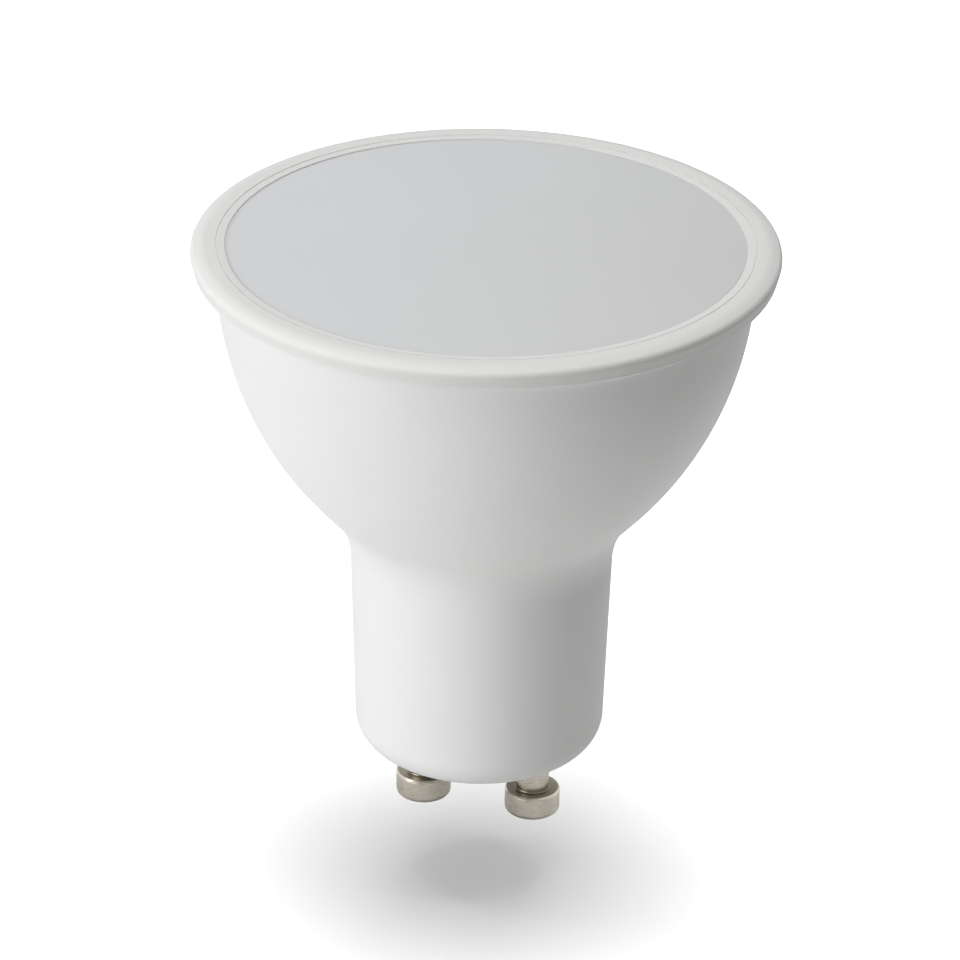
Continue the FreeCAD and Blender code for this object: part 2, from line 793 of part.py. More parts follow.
def make_output_capacitor():
    """Lying across the board's head, with its leads bent back into the board."""
    body = new_body("output_capacitor")
    make_can(body, half_head * s.output_capacitor_length_share)
    reach = s.electrolytic_radius + s.slide_gap + s.board_thickness + s.lead_tail
    for x in (-s.lead_spacing / 2, s.lead_spacing / 2):
        route = [(as_size(0), s.electrolytic_round), (as_size(0), -s.lead_bend), (reach, -s.lead_bend)]
        sweep_wire(body, "Lead", "YZ_Plane", route, s.lead_radius, s.lead_bend / 2, x)
    body.Placement = FreeCAD.Placement(Vector(), FreeCAD.Rotation(Vector(0, 1, 0), 90))
    middle = board_front - s.slide_gap - s.electrolytic_radius
    place(body, x=half_head * s.output_capacitor_share, y=middle, z=head_middle)


def make_choke():
    """Drum core on the board's head with its copper winding between the flanges."""
    core = new_body("choke_core")
    flange = s.choke_flange
    radius = root(half_head) * s.choke_factor
    section = [
        (0, 0),
        (radius, 0),
        (radius, flange),
        (s.choke_post_radius, flange),
        (s.choke_post_radius, s.choke_length - flange),
        (radius, s.choke_length - flange),
        (radius, s.choke_length),
        (0, s.choke_length),
    ]
    turn_profile(core, "Drum", section)
    winding = new_body("choke_winding")
    inner = s.choke_post_radius + s.seat_gap
    low = flange + s.seat_gap
    high = s.choke_length - flange - s.seat_gap
    outer = radius - s.choke_winding_depth
    turns = [(inner, low), (outer, low), (outer, high), (inner, high)]
    turn_profile(winding, "Winding", turns)
    for body in (core, winding):
        body.Placement = FreeCAD.Placement(Vector(), FreeCAD.Rotation(Vector(1, 0, 0), 90))
        place(body, x=radius + s.choke_edge_gap - half_head, y=board_front - s.slide_gap, z=head_middle)


def make_fuse():
    """Axial fuse resistor from the left pin up to the board, in a shrunk sleeve."""
    body = new_body("fuse_resistor")
    bottom = rivet_top + stem_room * s.fuse_bottom_share
    top = bottom + stem_room * s.fuse_length_share
    section = [
        (0, bottom),
        (s.fuse_radius, bottom),
        (s.fuse_radius, bottom + s.fuse_cap_length),
        (s.fuse_waist_radius, bottom + s.fuse_cap_length),
        (s.fuse_waist_radius, top - s.fuse_cap_length),
        (s.fuse_radius, top - s.fuse_cap_length),
        (s.fuse_radius, top),
        (0, top),
    ]
    turn_profile(body, "Resistor", section)
    foot = rivet_top - s.pin_bore_depth + s.slide_gap
    tail = [(0, foot), (s.lead_radius, foot), (s.lead_radius, bottom), (0, bottom)]
    turn_profile(body, "LowerLead", tail)
    reach = board_back + s.lead_tail
    route = [(as_size(0), top), (as_size(0), fuse_lead_top), (reach, fuse_lead_top)]
    sweep_wire(body, "UpperLead", "YZ_Plane", route, s.lead_radius, s.lead_bend, as_size(0))
    place(body, x=-half_pitch)
    sleeve = new_body("fuse_sleeve")
    bore = s.fuse_radius + s.seat_gap
    low = bottom - s.sleeve_overhang
    high = top + s.sleeve_overhang
    wall = bore + s.sleeve_thickness
    turn_profile(sleeve, "Sleeve", [(bore, low), (wall, low), (wall, high), (bore, high)])
    place(sleeve, x=-half_pitch)


# Flat-backed parts on the back of the driver board

def moulded_block(body, x, z, width, length, thickness):
    """A block that narrows slightly as it stands off the board's back face."""
    sketch = new_sketch(body, "BlockOutline", "XZ_Plane", -(board_back + s.seat_gap))
    add_rectangle(sketch, x - width / 2, x + width / 2, z - length / 2, z + length / 2)
    block = extrude(body, "Block", sketch, thickness, backwards=True)
    edges = [
        "Edge%d" % number
        for number, edge in enumerate(block.Shape.Edges, 1)
        if abs(edge.BoundBox.YMin - (board_back + s.seat_gap + thickness).value) < 1e-4
    ]
    return dress(body, "Chamfer", "Draft", block, edges, s.moulding_draft)


def add_legs(body, x, z, half_span, pitch, count):
    """Two rows of flat legs on the board, one row at each side of a block."""
    sketch = new_sketch(body, "LegOutlines", "XZ_Plane", -(board_back + s.seat_gap))
    for side in (1, -1):
        for number in range(count):
            middle = z + pitch * (number - (count - 1) / 2)
            inner = x + (half_span - s.leg_width) * side
            outer = x + (half_span + s.leg_length) * side
            left, right = (inner, outer) if side > 0 else (outer, inner)
            add_rectangle(sketch, left, right, middle - s.leg_width / 2, middle + s.leg_width / 2)
    extrude(body, "Legs", sketch, s.leg_thickness, backwards=True)


def make_back_parts():
    centre = as_size(0)
    bridge = new_body("bridge_rectifier")
    moulded_block(bridge, centre, s.bridge_height, s.bridge_width, s.bridge_length, s.bridge_thickness)
    add_legs(bridge, centre, s.bridge_height, s.bridge_width / 2, s.bridge_length * 0.6, 2)
    film = new_body("filter_capacitor")
    film_height = rivet_top + stem_room * s.film_share
    film_length = stem_room * s.film_length_share
    moulded_block(film, centre, film_height, s.film_width, film_length, s.film_thickness)
    chip = new_body("driver_chip")
    chip_height = rivet_top + stem_room * s.chip_share
    moulded_block(chip, centre, chip_height, s.chip_width, s.chip_length, s.chip_thickness)
    add_legs(chip, centre, chip_height, s.chip_width / 2, s.chip_length / 4, 4)
    diode = new_body("freewheel_diode")
    diode_x = half_head * s.diode_share
    moulded_block(diode, diode_x, head_middle, s.diode_width, s.diode_length, s.diode_thickness)
    add_legs(diode, diode_x, head_middle, s.diode_width / 2, s.diode_length, 1)


def make_sense_resistors():
    """A row of chip resistors that sets the lamp's current."""
    body = new_body("sense_resistors")
    body.AllowCompound = True
    sketch = new_sketch(body, "ChipOutline", "XZ_Plane", -(board_back + s.seat_gap))
    low = head_middle - s.resistor_length / 2
    left = -(half_head * s.resistor_share)
    width = half_head * s.resistor_width_share
    add_rectangle(sketch, left, left + width, low, low + s.resistor_length)
    chip = extrude(body, "Chip", sketch, s.resistor_thickness, backwards=True)
    row = body.newObject("PartDesign::LinearPattern", "Row")
    row.Originals = [chip]
    row.Direction = (origin_feature(body, "X_Axis"), [""])
    row.setExpression("Length", (half_head * s.resistor_pitch_share * (s.resistor_count - 1)).text)
    row.setExpression("Occurrences", s.resistor_count.text)
    body.Tip = row
    doc.recompute()


# Insulated leads: mains from the right pin to the board, and two from the board to the LED board

def make_leads():
    neutral = new_body("neutral_wire")
    foot = rivet_top - s.pin_bore_depth + s.slide_gap
    reach = board_back + s.lead_tail
    route = [(as_size(0), foot), (as_size(0), neutral_wire_top), (reach, neutral_wire_top)]
    sweep_wire(neutral, "Lead", "YZ_Plane", route, s.wire_radius, s.wire_bend, half_pitch)
    level = led_board_top + s.wire_radius + s.seat_gap
    for label, side in (("led_lead_positive", 1), ("led_lead_negative", -1)):
        body = new_body(label)
        x = led_lead_x * side
        route = [(x, board_shoulder + s.led_lead_rise), (x, level), (s.led_lead_reach * side, level)]
        sweep_wire(body, "Lead", "XZ_Plane", route, s.wire_radius, s.wire_bend, -wire_hole_y)


make_housing()
make_diffuser_cover()
make_heat_sink_liner()
make_disc("thermal_pad", led_board_radius - s.pad_margin, liner_floor_top, s.pad_thickness)
make_disc("led_board", led_board_radius, pad_top, s.led_board_thickness)
make_led_packages()
make_board_screws()
make_pin("pin_left", -half_pitch)
make_pin("pin_right", half_pitch)
make_driver_board()
make_input_capacitor()
make_output_capacitor()
make_choke()
make_fuse()
make_back_parts()
make_sense_resistors()
make_leads()
doc.recompute()

# Every object has to be sound before anything is written
for item in doc.Objects:
    if "Invalid" in item.State or "Error" in item.State:
        raise RuntimeError("%s did not build: %s" % (item.Label, item.State))
for body in pieces:
    if body.Shape.isNull() or not body.Shape.isValid() or not body.Shape.Solids:
        raise RuntimeError("%s has no sound solid" % body.Label)
for body in pieces:
    body.Shape.exportStep("parts/%s.step" % body.Label)
    solids = len(body.Shape.Solids)
    print("%-20s %d solid(s) %9.1f mm3" % (body.Label, solids, body.Shape.Volume))
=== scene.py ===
import json
import math

import bpy
import numpy as np
from mathutils import Matrix, Vector
from mathutils.geometry import delaunay_2d_cdt

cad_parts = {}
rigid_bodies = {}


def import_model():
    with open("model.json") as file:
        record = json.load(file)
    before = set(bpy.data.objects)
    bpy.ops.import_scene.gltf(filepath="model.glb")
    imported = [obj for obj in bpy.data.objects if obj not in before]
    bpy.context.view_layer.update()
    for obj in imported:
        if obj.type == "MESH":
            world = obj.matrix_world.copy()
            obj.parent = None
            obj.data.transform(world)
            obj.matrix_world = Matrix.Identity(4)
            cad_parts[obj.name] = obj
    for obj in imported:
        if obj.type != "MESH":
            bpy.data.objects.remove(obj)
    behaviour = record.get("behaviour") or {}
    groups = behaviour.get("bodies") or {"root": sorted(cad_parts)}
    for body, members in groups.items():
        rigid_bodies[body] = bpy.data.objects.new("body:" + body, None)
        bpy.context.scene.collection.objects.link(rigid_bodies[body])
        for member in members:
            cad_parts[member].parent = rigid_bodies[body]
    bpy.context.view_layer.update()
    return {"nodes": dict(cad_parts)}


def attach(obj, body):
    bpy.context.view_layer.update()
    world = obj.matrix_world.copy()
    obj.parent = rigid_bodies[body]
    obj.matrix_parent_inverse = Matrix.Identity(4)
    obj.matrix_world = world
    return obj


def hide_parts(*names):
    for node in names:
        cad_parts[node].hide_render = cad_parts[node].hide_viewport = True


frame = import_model()
cadNodes = frame["nodes"]
print("stage: frame loaded")

mm = 0.001  # the sizes below are in millimetres, as in the CAD


cameraSettings = {
    "azimuth": 15.95,  # degrees round the lamp, 0 looks along +Y
    "elevation": 27.018,
    "roll": 0.904,
    "distance": 503.06,  # to the aim point
    "aim": (0.0, 0.0, 30.0),
    "aimPixel": (482.355, 497.918),  # where the aim point shows in the 960 x 960 picture
    "focalPixels": 5829.18,
    "pictureSide": 960,
    "sensor": 36,  # width in millimetres
    "clip": (0.02, 20),  # metres
}


def makeCamera(c):
    turn, tilt, roll = (math.radians(c[k]) for k in ("azimuth", "elevation", "roll"))
    level = math.cos(tilt)
    forward = Vector((-math.sin(turn) * level, math.cos(turn) * level, -math.sin(tilt)))
    across = Vector((math.cos(turn), math.sin(turn), 0))
    upright = across.cross(forward)
    right = across * math.cos(roll) + upright * math.sin(roll)
    up = upright * math.cos(roll) - across * math.sin(roll)
    axes = Matrix((right, up, -forward)).transposed()
    half = c["pictureSide"] / 2
    pixelX, pixelY = c["aimPixel"]
    offAxis = Vector(((pixelX - half) / c["focalPixels"], (half - pixelY) / c["focalPixels"], -1))
    # the aim point shows a little beside the picture's middle
    nudge = Vector((0, 0, -1)).rotation_difference(offAxis.normalized()).to_matrix()
    data = bpy.data.cameras.new("camera")
    data.sensor_width = c["sensor"]
    data.lens = c["sensor"] * c["focalPixels"] / c["pictureSide"]
    data.clip_start, data.clip_end = c["clip"]
    camera = bpy.data.objects.new("camera", data)
    bpy.context.scene.collection.objects.link(camera)
    place = Vector(c["aim"]) * mm - forward * c["distance"] * mm
    camera.matrix_world = Matrix.Translation(place) @ (axes @ nudge.inverted()).to_4x4()
    bpy.context.scene.camera = camera


makeCamera(cameraSettings)
print("stage: camera")


def roundedProfile(corners, finest):
    # A half section from its corners (radius, height, round). Each round is a circular arc tangent to
    # both runs, in steps of at most so many degrees. The outward direction is the travel direction
    # turned a quarter turn to the right.
    points, outward = [], []
    spots = np.array([c[:2] for c in corners], float)
    for i, (x, z, bend) in enumerate(corners):
        here = spots[i]
        if i in (0, len(corners) - 1) or bend == 0:
            run = spots[min(i + 1, len(spots) - 1)] - spots[min(i, len(spots) - 2)]
            run = run / np.hypot(*run)
            points.append(here[None])
            outward.append(np.array([[run[1], -run[0]]]))
            continue
        back = (spots[i - 1] - here) / np.hypot(*(spots[i - 1] - here))
        ahead = (spots[i + 1] - here) / np.hypot(*(spots[i + 1] - here))
        opening = math.acos(np.clip(back @ ahead, -1, 1))
        reach = bend / math.tan(opening / 2)
        centre = here + (back + ahead) / np.hypot(*(back + ahead)) * bend / math.sin(opening / 2)
        turnBy = (math.pi - opening) * np.sign(ahead[1] * -back[0] + back[1] * ahead[0])
        steps = max(3, math.ceil(abs(math.degrees(turnBy)) / finest))
        a = np.linspace(0, turnBy, steps + 1)
        cosA, sinA = np.cos(a), np.sin(a)
        spoke = here + back * reach - centre
        normal = np.array([-back[1], back[0]])
        turned = [np.stack([v[0] * cosA - v[1] * sinA, v[0] * sinA + v[1] * cosA], 1) for v in (spoke, normal)]
        points.append(centre + turned[0])
        outward.append(turned[1])
    return np.concatenate(points), np.concatenate(outward)


def spin(points, outward, centreX, segments):
    # A surface of revolution: x = centre + r cos t, y = r sin t, z = height, with t once round.
    t = np.arange(segments) * 2 * math.pi / segments
    r, z = points[:, 0, None], points[:, 1, None]
    spots = np.stack([centreX + r * np.cos(t), r * np.sin(t), z + 0 * t], -1).reshape(-1, 3)
    n, m = outward[:, 0, None], outward[:, 1, None]
    normals = np.stack([n * np.cos(t), n * np.sin(t), m + 0 * t], -1).reshape(-1, 3)
    i = np.arange(len(points) - 1)[:, None] * segments
    j = np.arange(segments)[None]
    k = (j + 1) % segments
    a, b, c, d = i + j, i + k, i + segments + k, i + segments + j
    faces = np.concatenate([np.stack(corners, -1).reshape(-1, 3) for corners in ((a, b, c), (a, c, d))])
    return spots, normals, faces


def plate(height, radius, holes, facing, segments, holeSegments):
    # A flat round plate with round holes (centre x, radius): its edge circles triangulated, less the holes.
    t = np.arange(segments) * 2 * math.pi / segments
    u = np.arange(holeSegments) * 2 * math.pi / holeSegments
    loops = [np.stack([radius * np.cos(t), radius * np.sin(t)], 1)]
    loops += [np.stack([x + r * np.cos(u), r * np.sin(u)], 1) for x, r in holes]
    flat = np.concatenate(loops)
    edges, start = [], 0
    for loop in loops:
        k = np.arange(len(loop))
        edges += np.stack([start + k, start + (k + 1) % len(loop)], 1).tolist()
        start += len(loop)
    found = delaunay_2d_cdt([Vector(p) for p in flat.tolist()], edges, [], 0, 1e-7)
    origin = np.array([o[0] for o in found[3]])
    faces = origin[np.array(found[2])]
    middle = flat[faces].mean(1)
    keep = np.hypot(*middle.T) < radius
    for x, r in holes:
        keep &= np.hypot(middle[:, 0] - x, middle[:, 1]) > r * math.cos(math.pi / holeSegments) - 1e-6
    faces = faces[keep]
    p, q, s = (flat[faces[:, k]] for k in range(3))
    area = (q[:, 0] - p[:, 0]) * (s[:, 1] - p[:, 1]) - (q[:, 1] - p[:, 1]) * (s[:, 0] - p[:, 0])
    wrong = np.sign(area) != facing
    faces[wrong] = faces[wrong][:, ::-1]
    spots = np.column_stack([flat, np.full(len(flat), height)])
    return spots, np.tile([0.0, 0.0, float(facing)], (len(flat), 1)), faces


def prism(outline, low, high, axis):
    # A straight prism on a convex outline, its faces turned outwards from its middle.
    count = len(outline)
    ends = [np.insert(np.array(outline, float), axis, level, axis=1) for level in (low, high)]
    spots = np.concatenate(ends)
    k = np.arange(count)
    n = (k + 1) % count
    fan = np.arange(1, count - 1)
    faces = np.concatenate([
        np.stack([k, n, n + count], 1), np.stack([k, n + count, k + count], 1),
        np.stack([0 * fan, fan, fan + 1], 1), np.stack([0 * fan + count, fan + count, fan + 1 + count], 1),
    ])
    corners = spots[faces]
    normal = np.cross(corners[:, 1] - corners[:, 0], corners[:, 2] - corners[:, 0])
    inward = ((corners.mean(1) - spots.mean(0)) * normal).sum(1) < 0
    faces[inward] = faces[inward][:, ::-1]
    loose = spots[faces].reshape(-1, 3)  # each triangle brings its own corners, which makePiece merges
    normal[inward] *= -1
    normal /= np.linalg.norm(normal, axis=1)[:, None]
    return loose, np.repeat(normal, 3, 0), np.arange(len(loose)).reshape(-1, 3)


def makePiece(name, parts, material, slot, *replaced):
    # Joins the parts, closes their shared edges and poles, and keeps the worked-out normals.
    starts = np.cumsum([0] + [len(p[0]) for p in parts[:-1]])
    spots = np.concatenate([p[0] for p in parts])
    normals = np.concatenate([p[1] for p in parts])
    faces = np.concatenate([p[2] + s for p, s in zip(parts, starts)])
    first, same = np.unique(np.round(spots, 6), axis=0, return_index=True, return_inverse=True)[1:]
    summed = np.zeros((len(first), 3))
    np.add.at(summed, same.ravel(), normals)
    spots, normals, faces = spots[first], summed, same.ravel()[faces]
    a, b, c = faces.T
    faces = faces[(a != b) & (b != c) & (c != a)]
    normals /= np.linalg.norm(normals, axis=1)[:, None]
    mesh = bpy.data.meshes.new(name)
    mesh.vertices.add(len(spots))
    mesh.vertices.foreach_set("co", (spots * mm).astype(np.float32).ravel())
    mesh.loops.add(faces.size)
    mesh.loops.foreach_set("vertex_index", faces.astype(np.int32).ravel())
    mesh.polygons.add(len(faces))
    mesh.polygons.foreach_set("loop_start", np.arange(0, faces.size, 3, dtype=np.int32))
    mesh.update(calc_edges=True)
    mesh.validate()
    mesh.shade_smooth()
    mesh.normals_split_custom_set_from_vertices(normals.astype(np.float32).tolist())
    mesh.materials.append(material)
    piece = bpy.data.objects.new(name, mesh)
    bpy.context.scene.collection.objects.link(piece)
    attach(piece, "root")
    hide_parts(*replaced)


def newGroup(name, inputs, outputs):
    group = bpy.data.node_groups.new(name, "ShaderNodeTree")
    for label, value in inputs.items():
        socket = group.interface.new_socket(name=label, in_out="INPUT", socket_type="NodeSocketFloat")
        socket.default_value = value
    for label in outputs:
        group.interface.new_socket(name=label, in_out="OUTPUT", socket_type="NodeSocketFloat")
    return group, group.nodes.new("NodeGroupInput"), group.nodes.new("NodeGroupOutput")


def mathNode(tree, kind, a, b=None, c=None):
    node = tree.nodes.new("ShaderNodeMath")
    node.operation = kind
    for socket, value in zip(node.inputs, (a, b, c)):
        if value is None:
            continue
        if isinstance(value, (int, float)):
            socket.default_value = value
        else:
            tree.links.new(value, socket)
    return node.outputs[0]


def noiseNode(tree, vector, scale, detail=2.0, roughness=0.5):
    node = tree.nodes.new("ShaderNodeTexNoise")
    node.inputs["Detail"].default_value = detail
    node.inputs["Roughness"].default_value = roughness
    tree.links.new(vector, node.inputs["Vector"])
    if isinstance(scale, (int, float)):
        node.inputs["Scale"].default_value = scale
    else:
        tree.links.new(scale, node.inputs["Scale"])
    return node.outputs["Fac"]


def mapRange(tree, value, low, high, toLow=0.0, toHigh=1.0, smooth=False):
    node = tree.nodes.new("ShaderNodeMapRange")
    node.interpolation_type = "SMOOTHSTEP" if smooth else "LINEAR"
    tree.links.new(value, node.inputs["Value"])
    for label, number in (("From Min", low), ("From Max", high), ("To Min", toLow), ("To Max", toHigh)):
        if isinstance(number, (int, float)):
            node.inputs[label].default_value = number
        else:
            tree.links.new(number, node.inputs[label])
    return node.outputs["Result"]


def objectPlace(tree):
    return tree.nodes.new("ShaderNodeTexCoord").outputs["Object"]


def radiusNode(tree, x, y):
    return mathNode(tree, "SQRT", mathNode(tree, "MULTIPLY_ADD", y, y, mathNode(tree, "MULTIPLY", x, x)))


def mouldedSkinGroup():
    # Moulded plastic: a fine even grain, slow patches and a few dust specks.
    inputs = {"Grain Scale": 9000.0, "Patch Scale": 60.0,
              "Speck Scale": 420.0, "Speck Size": 0.05, "Speck Share": 0.03}
    group, inside, outside = newGroup("mouldedSkin", inputs, ("Grain", "Patch", "Specks"))
    place = objectPlace(group)
    grain = noiseNode(group, place, inside.outputs["Grain Scale"], 2.0, 0.6)
    patch = noiseNode(group, place, inside.outputs["Patch Scale"], 3.0, 0.5)
    cells = group.nodes.new("ShaderNodeTexVoronoi")
    group.links.new(place, cells.inputs["Vector"])
    group.links.new(inside.outputs["Speck Scale"], cells.inputs["Scale"])
    near = mathNode(group, "LESS_THAN", cells.outputs["Distance"], inside.outputs["Speck Size"])
    lot = group.nodes.new("ShaderNodeSeparateColor")
    group.links.new(cells.outputs["Color"], lot.inputs["Color"])
    chosen = mathNode(group, "LESS_THAN", lot.outputs[0], inside.outputs["Speck Share"])
    group.links.new(grain, outside.inputs["Grain"])
    group.links.new(patch, outside.inputs["Patch"])
    group.links.new(mathNode(group, "MULTIPLY", near, chosen), outside.inputs["Specks"])
    return group


def turnedMetalGroup():
    # Turned metal: grooves round an upright axis, from noise over radius and height, and slow tarnish.
    inputs = {"Axis X": 0.0, "Groove Scale": 9000.0, "Tarnish Scale": 500.0}
    group, inside, outside = newGroup("turnedMetal", inputs, ("Grooves", "Tarnish"))
    place = objectPlace(group)
    split = group.nodes.new("ShaderNodeSeparateXYZ")
    group.links.new(place, split.inputs[0])
    x = mathNode(group, "SUBTRACT", split.outputs[0], inside.outputs["Axis X"])
    radius = radiusNode(group, x, split.outputs[1])
    join = group.nodes.new("ShaderNodeCombineXYZ")
    group.links.new(radius, join.inputs[0])
    group.links.new(split.outputs[2], join.inputs[1])
    grooves = noiseNode(group, join.outputs[0], inside.outputs["Groove Scale"], 3.0, 0.7)
    group.links.new(grooves, outside.inputs["Grooves"])
    group.links.new(noiseNode(group, place, inside.outputs["Tarnish Scale"], 4.0, 0.6), outside.inputs["Tarnish"])
    return group


mouldedSkin = mouldedSkinGroup()
turnedMetal = turnedMetalGroup()


def newMaterial(name, constants):
    material = bpy.data.materials.new(name)
    material.use_nodes = True
    tree = material.node_tree
    shader = tree.nodes["Principled BSDF"]
    for label, value in constants.items():
        shader.inputs[label].default_value = value
    return material, tree, shader


def placeGroup(tree, group, values):
    node = tree.nodes.new("ShaderNodeGroup")
    node.node_tree = group
    for label, value in values.items():
        node.inputs[label].default_value = value
    return node


def mixColour(tree, share, first, second):
    node = tree.nodes.new("ShaderNodeMix")
    node.data_type = "RGBA"
    tree.links.new(share, node.inputs[0])
    for socket, value in zip([s for s in node.inputs if s.type == "RGBA"], (first, second)):
        if isinstance(value, tuple):
            socket.default_value = (*value, 1.0)
        else:
            tree.links.new(value, socket)
    return [s for s in node.outputs if s.type == "RGBA"][0]


grainDepth = 0.00002  # metres, for bumps of full strength
patchRange = (0.3, 0.7)  # where the noise of slow patches starts and ends to matter


def bump(tree, shader, height, strength):
    node = tree.nodes.new("ShaderNodeBump")
    node.inputs["Strength"].default_value = strength
    node.inputs["Distance"].default_value = grainDepth
    tree.links.new(height, node.inputs["Height"])
    tree.links.new(node.outputs[0], shader.inputs["Normal"])


def plasticMaterial(name, look):
    # Moulded plastic whose colour moves slightly between two shades.
    material, tree, shader = newMaterial(name, {"Specular IOR Level": look.get("gloss", 0.5)})
    skin = placeGroup(tree, mouldedSkin, look.get("skin", {}))
    colour = mixColour(tree, mapRange(tree, skin.outputs["Patch"], *patchRange), look["shade"], look["light"])
    colour = mixColour(tree, skin.outputs["Specks"], colour, look.get("speck", look["shade"]))
    tree.links.new(colour, shader.inputs["Base Color"])
    rough = mapRange(tree, skin.outputs["Patch"], *patchRange, *look["roughness"])
    tree.links.new(rough, shader.inputs["Roughness"])
    bump(tree, shader, skin.outputs["Grain"], look["grain"])
    return material, tree, shader, colour


def metalMaterial(name, look):
    # Turned or pressed metal with grooves round an axis and a little tarnish.
    material, tree, shader = newMaterial(name, {"Metallic": 1.0})
    turned = placeGroup(tree, turnedMetal, look["turned"])
    colour = mixColour(tree, mapRange(tree, turned.outputs["Tarnish"], 0.35, 0.7), look["light"], look["shade"])
    lines = mapRange(tree, turned.outputs["Grooves"], 0.35, 0.65, 0.0, look["lineDepth"])
    colour = mixColour(tree, lines, colour, look["shade"])
    tree.links.new(colour, shader.inputs["Base Color"])
    rough = mapRange(tree, turned.outputs["Grooves"], *patchRange, *look["roughness"])
    tree.links.new(rough, shader.inputs["Roughness"])
    bump(tree, shader, turned.outputs["Grooves"], look["grooves"])
    return material, tree, shader, colour


housingSizes = {
    "baseHeight": 6.6, "neckBase": 10.78, "lip": 22.95, "baseRound": 2.9, "wall": 1.2,
    "outside": {"neckTop": 11.45, "bowl": 31.73, "bowlAngle": 41.8, "neckRound": 8.1},
    "inside": {"neckTop": 11.43, "bowl": 31.15, "bowlAngle": 39.55, "neckRound": 2.7},
    "rimLip": 24.76, "rimLipThickness": 0.2, "lipRound": 0.02, "lipRoot": 1.4,
    "top": 52.6, "softEdge": 0.06, "lipFoot": 0.12,
    "pinX": 5.0, "pinHole": 1.25, "recess": 1.95, "recessDepth": 0.4, "recessRing": 2.25,
    "boss": 2.6, "bossHeight": 3.6, "bossRing": 2.87,
    "grooveMiddle": 50.25, "grooveHalf": 0.55, "grooveBevel": 0.33, "grooveDepth": 0.55,
    "gussetInner": 12.0, "gussetTop": 41.45, "gussetWidth": 5.0,
    "railTip": 7.5, "railThickness": 0.8, "railBottom": 9.5, "railTop": 25.5,
    "boardFront": 3.1, "boardBack": 4.1, "railGap": 0.1,
    "segments": 320, "bossSegments": 96,
}
housingLook = {
    "light": (0.85, 0.848, 0.838), "shade": (0.835, 0.833, 0.824), "speck": (0.5, 0.49, 0.47),
    "roughness": (0.52, 0.6), "grain": 0.06, "gloss": 0.4,
    "skin": {"Grain Scale": 7000.0, "Patch Scale": 90.0,
             "Speck Scale": 330.0, "Speck Size": 0.055, "Speck Share": 0.035},
}


def wallCorners(h, side, inset):
    # Corners of the wall's section at an inset: floor edge, neck, and the corner whose round is the bowl.
    angle = math.radians(side["bowlAngle"])
    slope = math.tan(angle)
    touchX = h["lip"] - side["bowl"] + side["bowl"] * math.cos(angle)
    neckZ = h["top"] - side["bowl"] * math.sin(angle) - (touchX - side["neckTop"]) / slope
    taper = (side["neckTop"] - h["neckBase"]) / (neckZ - h["baseHeight"])
    rise = (inset / math.cos(angle) - inset) / (slope - taper)
    neckX = side["neckTop"] - inset + taper * rise
    floor = (h["neckBase"] - inset + taper * inset, h["baseHeight"] + inset)
    wallX = h["lip"] - inset
    # the cone stands square to the bowl arc's last spoke, so it climbs by the cotangent of the bowl's angle
    return floor, (neckX, neckZ + rise), (wallX, neckZ + rise + (wallX - neckX) / slope)


